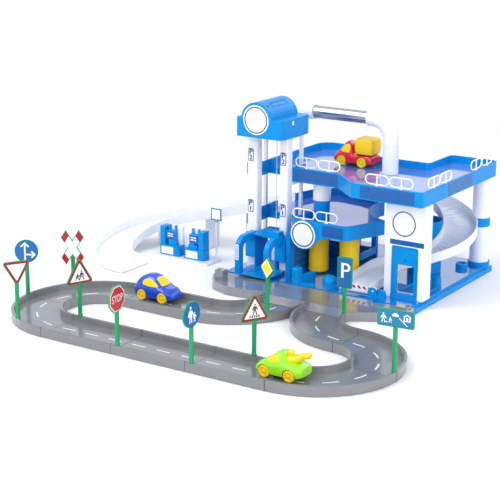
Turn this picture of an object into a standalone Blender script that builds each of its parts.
"""Toy parking garage: a three level car park with a winch lift, a car wash, a spiral ramp and a
side ramp, a ring road of straights and bends, traffic signs, a petrol station and three toy cars.

Metres, +Z up. The origin is on the ground, under the middle of the garage's base plate."""

import math

import bmesh
import bpy
from mathutils import Matrix, Vector
from mathutils.geometry import tessellate_polygon

MM = 0.001

# Clearances
SEAT_GAP = 0.3 * MM
PIN_GAP = 0.35 * MM
SLIDE_GAP = 1.0 * MM

# Base plate of the garage
BASE_WIDTH = 412 * MM
BASE_DEPTH = 351 * MM
BASE_MIDDLE_Y = -0.5 * MM
BASE_LEFT = -BASE_WIDTH / 2
BASE_RIGHT = BASE_WIDTH / 2
BASE_FRONT = BASE_MIDDLE_Y - BASE_DEPTH / 2
BASE_BACK = BASE_MIDDLE_Y + BASE_DEPTH / 2
BASE_BAY_STEP = 10 * MM
BASE_FLOOR = 15 * MM
BASE_EDGE = 9 * MM
BASE_STEP = 5 * MM
BASE_SKIN = 3.2 * MM
BASE_CORNER = 9 * MM

# Lift tower
TOWER_LEFT = BASE_LEFT + 28 * MM
TOWER_WIDTH = 86 * MM
TOWER_RIGHT = TOWER_LEFT + TOWER_WIDTH
COLUMN_WIDTH = 18 * MM
COLUMN_FLARE = 6 * MM
COLUMN_FRONT = -124 * MM
COLUMN_DEPTH = 20 * MM
REAR_POST = 6 * MM
REAR_POST_BACK = -66 * MM
TOWER_TOP = 281 * MM
TOWER_PLATE = 5 * MM
TOWER_SILL = 5 * MM

# Spiral ramp
SPIRAL_X = BASE_RIGHT - 90 * MM
SPIRAL_Y = BASE_BACK - 127 * MM
SPIRAL_RADIUS = 66 * MM
RAMP_HALF = 33 * MM
RAMP_WALL = 2.5 * MM
RAMP_SKIN = 2.5 * MM
RAMP_SIDE = 16 * MM
RAMP_TOP_X = -75 * MM
SPIRAL_TOP_Z = 130 * MM
SPIRAL_LOW_Z = 44 * MM
EXIT_TURN_RADIUS = 40.5 * MM
EXIT_TURN_Z = 26 * MM
EXIT_Z = 18.2 * MM
EXIT_END_Y = BASE_FRONT + 23 * MM
NEWEL_RADIUS = 32.7 * MM
NEWEL_TOP = 118 * MM

# Decks
DECK_1_FLOOR = 117 * MM
DECK_2_FLOOR = 206 * MM
DECK_SKIN = 3 * MM
RIM_WALL = 3 * MM
RIM_UP = 14.5 * MM
RIM_DOWN = 13.5 * MM
DECK_LEFT = BASE_LEFT + 34 * MM
DECK_BACK_OF_SHAFT = -64 * MM
DECK_1_FRONT = BASE_FRONT + 36.5 * MM
DECK_2_FRONT_LEFT = BASE_FRONT + 74 * MM
DECK_2_FRONT_RIGHT = BASE_FRONT + 21.5 * MM
DECK_2_BACK = SPIRAL_Y + 30 * MM
DECK_2_BACK_RIGHT = BASE_BACK
SIDE_PANEL = 2.6 * MM

# Round boss on the first deck's front rim
LOBE_X = TOWER_RIGHT + 47.5 * MM
LOBE_Z = 104.5 * MM
LOBE_RADIUS = 28.5 * MM
LOBE_THICK = 3.5 * MM

# Cap over the tower, with the winch in it
CAP_LEFT = TOWER_LEFT - 7 * MM
CAP_RIGHT = TOWER_RIGHT + 10 * MM
CAP_FRONT = -162 * MM
CAP_BACK = -60 * MM
CAP_BOX_HEIGHT = 36 * MM
CAP_WALL = 2.6 * MM
CAP_BARREL_RADIUS = 33 * MM
CAP_BARREL_X = TOWER_LEFT + 39 * MM
CAP_BARREL_LENGTH = 96 * MM
CAP_WINDOW_Y = (-125 * MM, -115 * MM)
CAP_WINDOW_Z = (TOWER_TOP + 23.5 * MM, TOWER_TOP + 32.5 * MM)
WINCH_RADIUS = 8 * MM
WINCH_LENGTH = 34 * MM
WINCH_FLANGE = 12 * MM
WINCH_SHAFT = 3 * MM
WINCH_Y = -84 * MM
WINCH_Z = 303 * MM
CRANK_REACH = 20 * MM
CRANK_ARM = 4 * MM
CRANK_KNOB = 14 * MM
CORD_RADIUS = 0.8 * MM

# Lift cabin
CABIN_FLOOR = 22 * MM
CABIN_PLATE = 3 * MM
CABIN_WALL = 2.4 * MM
CABIN_FRONT = -188 * MM
CABIN_BACK = -76 * MM
CABIN_HEIGHT = 66 * MM
CABIN_ARM = 10 * MM
CABIN_ARM_DEPTH = 14 * MM
CABIN_ARM_BEND = 26 * MM
CABIN_SHIELD = 8 * MM
CABIN_SHIELD_LOW = 40 * MM
HOOD_HEIGHT = 12 * MM
HOOD_DEPTH = 18 * MM

# Carrying handle
HANDLE_Z = 309 * MM
HANDLE_Y = 10.5 * MM
HANDLE_TUBE_RADIUS = 12.3 * MM
HANDLE_TUBE_WALL = 1.5 * MM
HANDLE_ELBOW_RADIUS = 15.5 * MM
HANDLE_LEFT_X = TOWER_LEFT + 37 * MM
HANDLE_TUBE_LEFT = HANDLE_LEFT_X + 19 * MM
HANDLE_POST_X = SPIRAL_X - 61 * MM
HANDLE_TUBE_RIGHT = HANDLE_POST_X - 38 * MM
HANDLE_PLUG = 9 * MM

# Columns
REAR_COLUMN = (BASE_RIGHT - 22 * MM, BASE_BACK - 23 * MM)
REAR_COLUMN_LOWER_RADIUS = 19 * MM
REAR_COLUMN_UPPER_RADIUS = 17.3 * MM
REAR_COLUMN_NECK = 68 * MM
REAR_COLUMN_CONE = 14 * MM
REAR_COLUMN_RING = (93 * MM, 111 * MM)
SHORT_COLUMN = (TOWER_RIGHT + 46 * MM, -72 * MM)
SHORT_COLUMN_RADIUS = 17 * MM
SHORT_COLUMN_LOW = 158 * MM
SHORT_SOCKET_RADIUS = 15.5 * MM
COLUMN_WALL = 2.5 * MM

# Side ramp, left of the garage
SIDE_HALF = 39 * MM
SIDE_Y = 1.5 * MM
SIDE_TURN_X = DECK_LEFT - 213 * MM
SIDE_TURN_RADIUS = 111 * MM
SIDE_TURN_Z = 58.5 * MM
SIDE_WALL = 2.8 * MM
SIDE_SIDE = 16.5 * MM
SIDE_GROUND_ANGLE = 125
SIDE_GROUND_Z = 3.2 * MM

# Service portal and its door frame
PORTAL_LEFT = BASE_RIGHT - 79 * MM
PORTAL_RIGHT = BASE_RIGHT - SEAT_GAP
PORTAL_FRONT = BASE_FRONT + 36.5 * MM
PORTAL_DEPTH = 30 * MM
PORTAL_LEG_LEFT = 13 * MM
PORTAL_LEG_RIGHT = 11 * MM
PORTAL_WALL = 2.6 * MM
PORTAL_MOUTH_TOP = 113 * MM
DOOR_DEPTH = 8 * MM
DOOR_STILE = 9 * MM
DOOR_WINDOW_TOP = 78 * MM
DOOR_SETBACK = 2 * MM

# Car wash, between the lift tower and the spiral ramp's exit lane
WASH_WIDTH = SPIRAL_X - EXIT_TURN_RADIUS - RAMP_HALF - TOWER_RIGHT
WASH_UNIT = WASH_WIDTH / 134.5
ROLLER_LEFT = (TOWER_RIGHT + 42 * WASH_UNIT, BASE_FRONT + 103 * MM)
ROLLER_RIGHT = (TOWER_RIGHT + 110 * WASH_UNIT, BASE_FRONT + 101 * MM)
ROLLER_RADIUS = 19.5 * WASH_UNIT
ROLLER_PIN = 3 * MM
ROLLER_LOW = 18 * MM
ROLLER_HIGH = 98 * MM
ROLLER_SOCKET = 7 * MM
WASH_BACK = 13 * MM
WASH_WALL = 3.5 * MM
WASH_BACK_TOP = 54 * MM
WASH_BAR = (44 * MM, 56 * MM)

# Barrier
BARRIER_Y = BASE_FRONT + 17 * MM
BARRIER_PIVOT_X = PORTAL_LEFT - 10 * MM
BARRIER_PIVOT_Z = 27 * MM
BARRIER_REACH = 70 * MM
BARRIER_TAIL = 6 * MM
BARRIER_HEIGHT = 13 * MM
BARRIER_THICK = 3 * MM
BARRIER_PIN = 2 * MM
BARRIER_CHEEK = 2.5 * MM
REST_POST_RADIUS = 4 * MM
DOME = (5 * MM, BASE_FRONT + 51 * MM)
DOME_RADIUS = 14 * MM

# Guard rails on the decks
RAIL_LENGTH = 98 * MM
RAIL_HEIGHT = 20 * MM
RAIL_ROD = 2.4 * MM
RAIL_LEG = 4.5 * MM
RAIL_CLIP = 5 * MM

# Road
ROAD_PITCH = 150 * MM
ROAD_BEND_RADIUS = 105 * MM
ROAD_WIDTH = 90 * MM
ROAD_WALL = 5 * MM
ROAD_TOP = 17 * MM
ROAD_FLOOR = 6 * MM
ROAD_SKIN = 2.6 * MM
ROAD_JOINT = 0.4 * MM
ROAD_TONGUE_WIDTH = 14 * MM
ROAD_TONGUE_REACH = 9 * MM
ROAD_START = (-11.25 * MM, BASE_FRONT - 98.5 * MM)

# Forecourt between the road and the base
COURT_TOP = 14.5 * MM
COURT_KERB = 17 * MM
COURT_KERB_WALL = 3.5 * MM
COURT_SKIN = 3 * MM

# Traffic signs
SIGN_PEG = 1.2 * MM
SIGN_PEG_DEPTH = 6 * MM
SIGN_POLE = 3.9 * MM
SIGN_FOOT = 4.4 * MM
SIGN_TOP = 119 * MM
SIGN_THICK = 2.6 * MM

# Petrol station
STATION_LEFT = SIDE_TURN_X - 28 * MM
STATION_RIGHT = STATION_LEFT + 136 * MM
STATION_FRONT = -126 * MM
STATION_DEPTH = 54 * MM
STATION_SLAB = 5 * MM
PUMP_WIDTH = 50 * MM
PUMP_DEPTH = 24 * MM
PUMP_HEIGHT = 64 * MM

# Toy cars
WHEEL_RADIUS = 10 * MM
WHEEL_WIDTH = 7 * MM
AXLE_RADIUS = 1.6 * MM
WHEEL_BASE = 45 * MM
TRACK = 46 * MM
ARCH_GAP = 1.6 * MM
CAR_LENGTH = 87 * MM

# Derived sizes
RING_SIDES = 32
RAMP_SLOPE_START = DECK_2_FLOOR
SHAFT_LEFT = TOWER_LEFT + COLUMN_WIDTH
SHAFT_RIGHT = TOWER_RIGHT - COLUMN_WIDTH
SHAFT_X = (SHAFT_LEFT + SHAFT_RIGHT) / 2
CAP_Z = TOWER_TOP + SEAT_GAP
DECK_1_LOW = DECK_1_FLOOR - RIM_DOWN
DECK_2_LOW = DECK_2_FLOOR - RIM_DOWN
DECK_1_UNDER = DECK_1_FLOOR - DECK_SKIN
DECK_2_UNDER = DECK_2_FLOOR - DECK_SKIN
ROAD_HALF = ROAD_WIDTH / 2


def material(name, colour, roughness=0.35, metallic=0.0):
    """A plain plastic or metal finish."""
    made = bpy.data.materials.get(name)
    if made:
        return made
    made = bpy.data.materials.new(name)
    made.use_nodes = True
    shader = made.node_tree.nodes["Principled BSDF"]
    shader.inputs["Base Color"].default_value = (*colour, 1.0)
    shader.inputs["Roughness"].default_value = roughness
    shader.inputs["Metallic"].default_value = metallic
    return made


def blue():
    return material("blue_plastic", (0.0, 0.2, 0.72))


def white():
    return material("white_plastic", (0.86, 0.87, 0.9))


def grey():
    return material("road_grey", (0.25, 0.27, 0.29))


def yellow():
    return material("yellow_plastic", (0.95, 0.62, 0.01))


def green():
    return material("green_plastic", (0.01, 0.36, 0.09))


def red():
    return material("red_plastic", (0.65, 0.01, 0.02))


def lime():
    return material("lime_plastic", (0.28, 0.75, 0.03))


def deep_blue():
    return material("car_blue_plastic", (0.0, 0.05, 0.55))


def chrome():
    return material("chromed_metal", (0.8, 0.8, 0.82), roughness=0.12, metallic=1.0)


def cord_black():
    return material("cord", (0.9, 0.9, 0.9), roughness=0.8)


def clear_scene():
    for old in list(bpy.data.objects):
        bpy.data.objects.remove(old, do_unlink=True)


def mesh_object(name, shape, finish=None, origin=(0.0, 0.0, 0.0)):
    """Makes an object of a bmesh given in world space, with its origin where asked."""
    shape.transform(Matrix.Translation(-Vector(origin)))
    mesh = bpy.data.meshes.new(name)
    shape.to_mesh(mesh)
    shape.free()
    made = bpy.data.objects.new(name, mesh)
    made.location = origin
    bpy.context.scene.collection.objects.link(made)
    if finish:
        mesh.materials.append(finish)
        mesh.shade_smooth()
        mesh.set_sharp_from_angle(angle=math.radians(35))
    return made


def boolean(target, shapes, operation):
    """Joins shapes to the target or cuts them from it, through one hidden helper object."""
    helper = mesh_object(f"{target.name}_{operation.lower()}", merged(shapes))
    helper.hide_render = True
    helper.display_type = "WIRE"
    step = target.modifiers.new(operation.title(), "BOOLEAN")
    step.operation = operation
    step.object = helper
    step.solver = "EXACT"
    step.use_self = len(shapes) > 1


def add(target, *shapes):
    boolean(target, shapes, "UNION")


def cut(target, *shapes):
    boolean(target, shapes, "DIFFERENCE")


def merged(shapes):
    """One bmesh that holds all the shapes, side by side."""
    whole = bmesh.new()
    for shape in shapes:
        mesh = bpy.data.meshes.new("part")
        shape.to_mesh(mesh)
        shape.free()
        whole.from_mesh(mesh)
        bpy.data.meshes.remove(mesh)
    return whole


def facing_out(shape):
    bmesh.ops.recalc_face_normals(shape, faces=shape.faces)
    if shape.calc_volume(signed=True) < 0:
        bmesh.ops.reverse_faces(shape, faces=shape.faces)
    return shape


def loft(rings):
    """A closed solid through rings of equally many points, capped at both ends."""
    shape = bmesh.new()
    loops = [[shape.verts.new(point) for point in ring] for ring in rings]
    for low, high in zip(loops, loops[1:]):
        for i, point in enumerate(low):
            j = (i + 1) % len(low)
            shape.faces.new((point, low[j], high[j], high[i]))
    shape.faces.new(list(reversed(loops[0])))
    shape.faces.new(loops[-1])
    return facing_out(shape)


def level(outline, height):
    return [(x, y, height) for x, y in outline]


def prism(outline, low, high):
    return loft([level(outline, low), level(outline, high)])


def box(x, y, z):
    """A block between the two values given for each axis."""
    return prism([(x[0], y[0]), (x[1], y[0]), (x[1], y[1]), (x[0], y[1])], z[0], z[1])


def slab(outer, holes, low, high):
    """A flat plate with holes right through it."""
    loops = [outer, *holes]
    flat = [[Vector((x, y, 0.0)) for x, y in loop] for loop in loops]
    corners = [point for loop in flat for point in loop]
    shape = bmesh.new()
    bottom = [shape.verts.new((p.x, p.y, low)) for p in corners]
    top = [shape.verts.new((p.x, p.y, high)) for p in corners]
    for a, b, c in tessellate_polygon(flat):
        shape.faces.new((top[a], top[b], top[c]))
        shape.faces.new((bottom[c], bottom[b], bottom[a]))
    start = 0
    for loop in loops:
        for i in range(len(loop)):
            j = (i + 1) % len(loop)
            side = (bottom[start + i], bottom[start + j], top[start + j], top[start + i])
            shape.faces.new(side)
        start += len(loop)
    return facing_out(shape)


def circle(x, y, radius, sides=RING_SIDES, start=0.0, turn=360.0):
    """Points of a circle or of an arc; an arc also has its last point."""
    closed = abs(turn) >= 360.0
    count = sides if closed else sides + 1
    angles = [math.radians(start + turn * i / sides) for i in range(count)]
    return [(x + radius * math.cos(a), y + radius * math.sin(a)) for a in angles]


def rounded(corners, radius, steps=4):
    """A polygon with each corner rounded by an arc; a corner may name its own radius."""
    points = []
    for i, corner in enumerate(corners):
        here = Vector(corner[:2])
        size = corner[2] if len(corner) > 2 else radius
        before = (Vector(corners[i - 1][:2]) - here).normalized()
        after = (Vector(corners[(i + 1) % len(corners)][:2]) - here).normalized()
        half = before.angle(after) / 2
        if size <= 0 or half > math.radians(85):
            points.append(tuple(here))
            continue
        reach = size / math.tan(half)
        middle = here + (before + after).normalized() * size / math.sin(half)
        start = here + before * reach - middle
        swing = start.angle_signed(here + after * reach - middle)
        for k in range(steps + 1):
            spoke = start.copy()
            spoke.rotate(Matrix.Rotation(-swing * k / steps, 2))
            points.append(tuple(middle + spoke))
    return points


def inset(outline, distance):
    """The outline moved inwards by a distance, for an outline that runs anticlockwise."""
    moved = []
    for i, point in enumerate(outline):
        here = Vector(point)
        ahead = (Vector(outline[(i + 1) % len(outline)]) - here).normalized()
        behind = (here - Vector(outline[i - 1])).normalized()
        normal = Vector((-ahead.y - behind.y, ahead.x + behind.x)).normalized()
        square = normal.dot(Vector((-ahead.y, ahead.x)))
        moved.append(tuple(here + normal * distance / square))
    return moved


def turned(profile, sides=RING_SIDES, centre=(0.0, 0.0)):
    """A solid of revolution about a vertical axis, from (radius, height) points on a closed loop."""
    shape = bmesh.new()
    columns = []
    for i in range(sides):
        angle = 2 * math.pi * i / sides
        column = []
        for radius, height in profile:
            x = centre[0] + radius * math.cos(angle)
            y = centre[1] + radius * math.sin(angle)
            column.append(shape.verts.new((x, y, height)))
        columns.append(column)
    for i in range(sides):
        here, there = columns[i], columns[(i + 1) % sides]
        for k in range(len(profile)):
            m = (k + 1) % len(profile)
            shape.faces.new((here[k], there[k], there[m], here[m]))
    return facing_out(shape)


def rod(radius, low, high, sides=RING_SIDES, centre=(0.0, 0.0)):
    return prism(circle(*centre, radius, sides), low, high)


def spindle(profile, sides=RING_SIDES, centre=(0.0, 0.0)):
    """A solid of revolution whose profile starts and ends at an end face, from low to high."""
    rings = [level(circle(*centre, radius, sides), height) for radius, height in profile]
    return loft(rings)


def tube(radius, wall, low, high, centre=(0.0, 0.0), sides=RING_SIDES):
    inner = radius - wall
    return turned([(radius, low), (radius, high), (inner, high), (inner, low)], sides, centre)


def placed(shape, matrix):
    shape.transform(matrix)
    return shape


def along_x(shape, x=0.0, y=0.0, z=0.0):
    """Lays a shape made along +Z down along +X."""
    return placed(shape, Matrix.Translation((x, y, z)) @ Matrix.Rotation(math.radians(90), 4, "Y"))


def along_y(shape, x=0.0, y=0.0, z=0.0):
    """Lays a shape made along +Z down along +Y, its own Y pointing down."""
    return placed(shape, Matrix.Translation((x, y, z)) @ Matrix.Rotation(math.radians(-90), 4, "X"))


def upright(shape, y):
    """Stands a plate drawn in X and Y up on its edge, so that it is drawn in X and Z.

    Its thickness runs from y backwards."""
    turn = Matrix(((1, 0, 0, 0), (0, 0, 1, y), (0, 1, 0, 0), (0, 0, 0, 1)))
    shape.transform(turn)
    return facing_out(shape)


def sweep(section, path):
    """A section of (across, up) points carried along a path of (x, y, z, heading) stations.

    Across points to the left of the heading."""
    rings = []
    for x, y, z, heading in path:
        side = (-math.sin(heading), math.cos(heading))
        rings.append([(x + a * side[0], y + a * side[1], z + up) for a, up in section])
    return loft(rings)


def trough(half, wall, side, skin, foot=0.0):
    """The section of a driving lane: a floor whose top is at height 0, between two side walls."""
    inner = half - wall
    low = -skin - foot
    points = [(-half, low), (-half, side), (-inner, side), (-inner, 0.0)]
    points += [(inner, 0.0), (inner, side), (half, side), (half, low)]
    if foot > 0:
        points += [(inner, low), (inner, -skin), (-inner, -skin), (-inner, low)]
    return points


def straight_path(start, heading, length, rise=0.0, steps=1):
    """Stations along a straight run."""
    stations = []
    for i in range(steps + 1):
        share = i / steps
        x = start[0] + math.cos(heading) * length * share
        y = start[1] + math.sin(heading) * length * share
        stations.append((x, y, start[2] + rise * share, heading))
    return stations


def turn_path(start, heading, radius, turn, rise=0.0, steps=12):
    """Stations along an arc; a positive turn, in degrees, bends to the left."""
    left = 1.0 if turn > 0 else -1.0
    centre_x = start[0] - math.sin(heading) * radius * left
    centre_y = start[1] + math.cos(heading) * radius * left
    stations = []
    for i in range(steps + 1):
        share = i / steps
        now = heading + math.radians(turn) * share
        x = centre_x + math.sin(now) * radius * left
        y = centre_y - math.cos(now) * radius * left
        stations.append((x, y, start[2] + rise * share, now))
    return stations


def joined(*paths):
    """One path of several, without the repeated stations where they meet."""
    whole = list(paths[0])
    for path in paths[1:]:
        whole += path[1:]
    return whole


def base_outline():
    """Anticlockwise, from the front left corner; the bay at the right stands further forward."""
    bay = PORTAL_LEFT - 1 * MM
    return rounded([(BASE_LEFT, BASE_FRONT), (bay, BASE_FRONT, 1 * MM),
                    (bay + 4 * MM, BASE_FRONT - BASE_BAY_STEP, 9 * MM),
                    (BASE_RIGHT, BASE_FRONT + 4 * MM), (BASE_RIGHT, BASE_BACK),
                    (BASE_LEFT, BASE_BACK)], BASE_CORNER)


def barrier_post():
    """The bracket that holds the barrier's pin: a rounded fork and a lobe beside it."""
    half = BARRIER_THICK / 2 + SLIDE_GAP / 2 + BARRIER_CHEEK
    low = BASE_EDGE - 2 * MM
    x = BARRIER_PIVOT_X
    high = BARRIER_PIVOT_Z + 6 * MM
    fork = rounded([(x - 12 * MM, low, 0), (x + 9 * MM, low, 0), (x + 7 * MM, high, 6 * MM),
                    (x - 9 * MM, high, 6 * MM)], 0)
    foot = low + 1 * MM
    lobe_top = high - 2 * MM
    lobe = rounded([(x + 6 * MM, foot, 0), (x + 25 * MM, foot, 0), (x + 22 * MM, lobe_top, 6 * MM),
                    (x + 11 * MM, lobe_top, 5 * MM)], 0)
    return [upright(slab(fork, [], 0.0, 2 * half), BARRIER_Y - half),
            upright(slab(lobe, [], 0.0, 2 * half - 1 * MM), BARRIER_Y - half + 0.5 * MM)]


def barrier_cuts():
    """The slot for the arm and the bore for its pin."""
    half = BARRIER_THICK / 2 + SLIDE_GAP / 2
    wide = BARRIER_CHEEK + 4 * MM
    swing = math.hypot(BARRIER_TAIL, BARRIER_HEIGHT / 2) + 1 * MM
    x = (BARRIER_PIVOT_X - 16 * MM, BARRIER_PIVOT_X + swing)
    slot = box(x, (BARRIER_Y - half, BARRIER_Y + half),
               (BARRIER_PIVOT_Z - swing, BARRIER_PIVOT_Z + 12 * MM))
    bore = rod(BARRIER_PIN + PIN_GAP, -half - wide, half + wide, 12)
    return [slot, along_y(bore, BARRIER_PIVOT_X, BARRIER_Y, BARRIER_PIVOT_Z)]


def wash_features():
    """The wash's side wall with its front post, its back wall and the bar round its corner."""
    low = BASE_FLOOR - 1 * MM
    top = DECK_1_LOW - SEAT_GAP
    left = TOWER_RIGHT + 6 * WASH_UNIT
    front = DECK_1_FRONT + 3 * MM
    wall = left + 7 * WASH_UNIT
    right = TOWER_RIGHT + 122 * WASH_UNIT
    post = box((left, left + 10 * WASH_UNIT), (front, front + 10 * MM), (low, top))
    side = box((wall, wall + WASH_WALL), (front + 2 * MM, WASH_BACK + 2 * MM), (low, top - 1 * MM))
    back = box((wall + 1 * MM, right - 4 * MM), (WASH_BACK, WASH_BACK + WASH_WALL),
               (low, WASH_BACK_TOP))
    edge = WASH_BACK + 5 * MM
    bar = rounded([(right - 12 * MM, edge - 6 * MM, 0), (right - 6 * MM, edge - 6 * MM, 2 * MM),
                   (right - 6 * MM, ROLLER_RIGHT[1] + 25 * MM, 0),
                   (right, ROLLER_RIGHT[1] + 25 * MM, 2 * MM), (right, edge, 10 * MM),
                   (right - 12 * MM, edge, 0)], 0)
    return [post, side, back, prism(bar, *WASH_BAR)]


def guide_features():
    """The guide in front of the wash: a round post with two bars."""
    low = BASE_EDGE - 2 * MM
    x = TOWER_RIGHT + 49 * MM
    y = BASE_FRONT + 11 * MM
    post = spindle([(10 * MM, low), (10 * MM, 44 * MM), (8.5 * MM, 46 * MM)], 18, (x, y))
    bar = prism([(x - 5 * MM, y + 2 * MM), (x + 4 * MM, y - 1 * MM), (x + 11 * MM, y + 51 * MM),
                 (x + 3 * MM, y + 53 * MM)], BASE_FLOOR - 1 * MM, 28 * MM)
    kerb = box((x, x + 39 * MM), (y - 3 * MM, y + 3 * MM), (BASE_FLOOR - 1 * MM, 19 * MM))
    return [post, bar, kerb]


def base_features():
    """What else is moulded onto the base: the dome, stops, a column socket and bay lines."""
    low = BASE_FLOOR - 1 * MM
    dome = [(DOME_RADIUS, low), (DOME_RADIUS, 17 * MM)]
    for angle in (20, 40, 60, 78):
        turn = math.radians(angle)
        dome.append((DOME_RADIUS * math.cos(turn), 16 * MM + DOME_RADIUS * math.sin(turn)))
    rest_x = BARRIER_PIVOT_X - BARRIER_REACH + 5 * MM
    rest = rod(REST_POST_RADIUS, low, BARRIER_PIVOT_Z - BARRIER_HEIGHT / 2 - SEAT_GAP, 14,
               (rest_x, BARRIER_Y))
    stop_1 = tube(12 * MM, 4 * MM, low, 24 * MM, (BASE_RIGHT - 38 * MM, 108 * MM), 20)
    stop_2 = rod(8 * MM, low, 30 * MM, 16, (BASE_RIGHT - 26 * MM, -26 * MM))
    socket = tube(21.5 * MM, 1.8 * MM, BASE_EDGE - 2 * MM, 22 * MM, REAR_COLUMN, 28)
    bay = [box((x, x + 4 * MM), (-104 * MM, -44 * MM), (low, 17 * MM))
           for x in (BASE_RIGHT - 68 * MM, BASE_RIGHT - 20 * MM)]
    return [spindle(dome, 20, DOME), rest, stop_1, stop_2, socket, *bay]


def base_ribs():
    """Ribs and the middle pad under the floor, down to the ground."""
    high = BASE_FLOOR - BASE_SKIN / 2
    half_x = BASE_WIDTH / 2 - BASE_STEP - BASE_SKIN / 2
    thin = 1.5 * MM
    across = [box((-half_x, half_x), (y - thin, y + thin), (0.0, high))
              for y in (-82 * MM, 82 * MM)]
    pad = box((-16 * MM, 16 * MM), (-16 * MM, 16 * MM), (0.0, high))
    return [*across, pad]


def roller_pin_hole(x, y):
    return rod(ROLLER_PIN + PIN_GAP, -1 * MM, BASE_FLOOR + 1 * MM, 16, (x, y))


def make_base():
    outer = base_outline()
    inner = inset(outer, BASE_STEP)
    pocket = inset(outer, BASE_STEP + BASE_SKIN)
    rings = [level(pocket, BASE_FLOOR - BASE_SKIN), level(pocket, 0.0), level(outer, 0.0),
             level(outer, BASE_EDGE), level(inner, BASE_EDGE + 1 * MM), level(inner, BASE_FLOOR)]
    base = mesh_object("base_plate", loft(rings), blue())
    add(base, *base_ribs())
    add(base, *base_features())
    for shape in (*wash_features(), *guide_features(), *barrier_post()):
        add(base, shape)
    cut(base, roller_pin_hole(*ROLLER_LEFT), roller_pin_hole(*ROLLER_RIGHT))
    for shape in barrier_cuts():
        cut(base, shape)


def deck_1_outline():
    """Anticlockwise, from the front left corner; its right side curves round the spiral ramp."""
    radius = SPIRAL_RADIUS + RAMP_HALF + 9 * MM
    bay = circle(SPIRAL_X, SPIRAL_Y, radius, 10, 251, -86)
    corners = [(TOWER_RIGHT + 18 * MM, DECK_1_FRONT, 6 * MM),
               (SPIRAL_X - 70 * MM, DECK_1_FRONT, 18 * MM),
               (SPIRAL_X - 50 * MM, DECK_1_FRONT + 49.5 * MM, 30 * MM)]
    corners += [(x, y, 0) for x, y in bay]
    corners += [(SPIRAL_X - 138 * MM, SPIRAL_Y + 57 * MM, 30 * MM),
                (SPIRAL_X - 182 * MM, SPIRAL_Y + 74 * MM, 40 * MM),
                (DECK_LEFT + 44 * MM, SPIRAL_Y + 84 * MM, 30 * MM),
                (DECK_LEFT + 12 * MM, SPIRAL_Y + 48 * MM, 25 * MM),
                (DECK_LEFT, 50 * MM, 12 * MM), (DECK_LEFT, DECK_BACK_OF_SHAFT, 4 * MM),
                (TOWER_RIGHT + 18 * MM, DECK_BACK_OF_SHAFT, 0)]
    return rounded(corners, 6 * MM)


def deck_2_outline():
    """Anticlockwise, from the left end of its front; the spiral ramp leaves from its back left."""
    end = RAMP_TOP_X - SEAT_GAP
    corners = [(TOWER_RIGHT - 8 * MM, DECK_2_FRONT_LEFT, 5 * MM),
               (SPIRAL_X - 110 * MM, DECK_2_FRONT_LEFT, 6 * MM),
               (SPIRAL_X - 54 * MM, DECK_2_FRONT_RIGHT, 8 * MM),
               (BASE_RIGHT, DECK_2_FRONT_RIGHT, 4 * MM),
               (BASE_RIGHT, DECK_2_BACK_RIGHT, 14 * MM),
               (SPIRAL_X - 12 * MM, DECK_2_BACK_RIGHT, 10 * MM),
               (SPIRAL_X - 12 * MM, DECK_2_BACK, 6 * MM), (end, DECK_2_BACK, 0),
               (end, DECK_2_BACK + 72 * MM, 5 * MM), (DECK_LEFT, DECK_2_BACK + 72 * MM, 30 * MM),
               (DECK_LEFT, DECK_BACK_OF_SHAFT, 4 * MM),
               (TOWER_RIGHT + 2 * MM, DECK_BACK_OF_SHAFT, 0),
               (TOWER_RIGHT + 2 * MM, REAR_POST_BACK - REAR_POST - 7 * MM, 2 * MM)]
    return rounded(corners, 6 * MM)


def tray(outline, floor):
    """A deck: a floor plate inside a rim that stands above and below it."""
    inner = inset(outline, RIM_WALL)
    return loft([level(inner, floor - DECK_SKIN), level(inner, floor - RIM_DOWN),
                 level(outline, floor - RIM_DOWN), level(outline, floor + RIM_UP),
                 level(inner, floor + RIM_UP), level(inner, floor)])


def rim_gap(x, y, floor):
    """A block that takes the rim away above the floor, where cars drive through."""
    return box(x, y, (floor, floor + RIM_UP + 5 * MM))


def roller_socket(x, y):
    """A boss under the first deck, with a bore that the roller's top pin turns in."""
    low = ROLLER_HIGH + 1.2 * MM
    high = DECK_1_UNDER + 1 * MM
    inner = ROLLER_PIN + PIN_GAP
    return turned([(ROLLER_SOCKET, low), (ROLLER_SOCKET, high), (inner, high), (inner, low)],
                  16, (x, y))


def deck_leg(x, y, floor_below, high, half=5 * MM):
    return box((x - half, x + half), (y - half, y + half), (floor_below + SEAT_GAP, high))


def rail_slot(x, y, heading, top):
    """The two holes in a rim's top that take a guard rail's clips."""
    slots = []
    for offset in (-RAIL_LENGTH / 4, RAIL_LENGTH / 4):
        centre_x = x + math.cos(heading) * offset
        centre_y = y + math.sin(heading) * offset
        half = RAIL_LEG / 2 + PIN_GAP
        thin = RAIL_ROD / 4 + PIN_GAP
        shape = box((-half, half), (-thin, thin), (top - RAIL_CLIP - 0.5 * MM, top + 2 * MM))
        turn = Matrix.Translation((centre_x, centre_y, 0.0)) @ Matrix.Rotation(heading, 4, "Z")
        slots.append(placed(shape, turn))
    return slots


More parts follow.
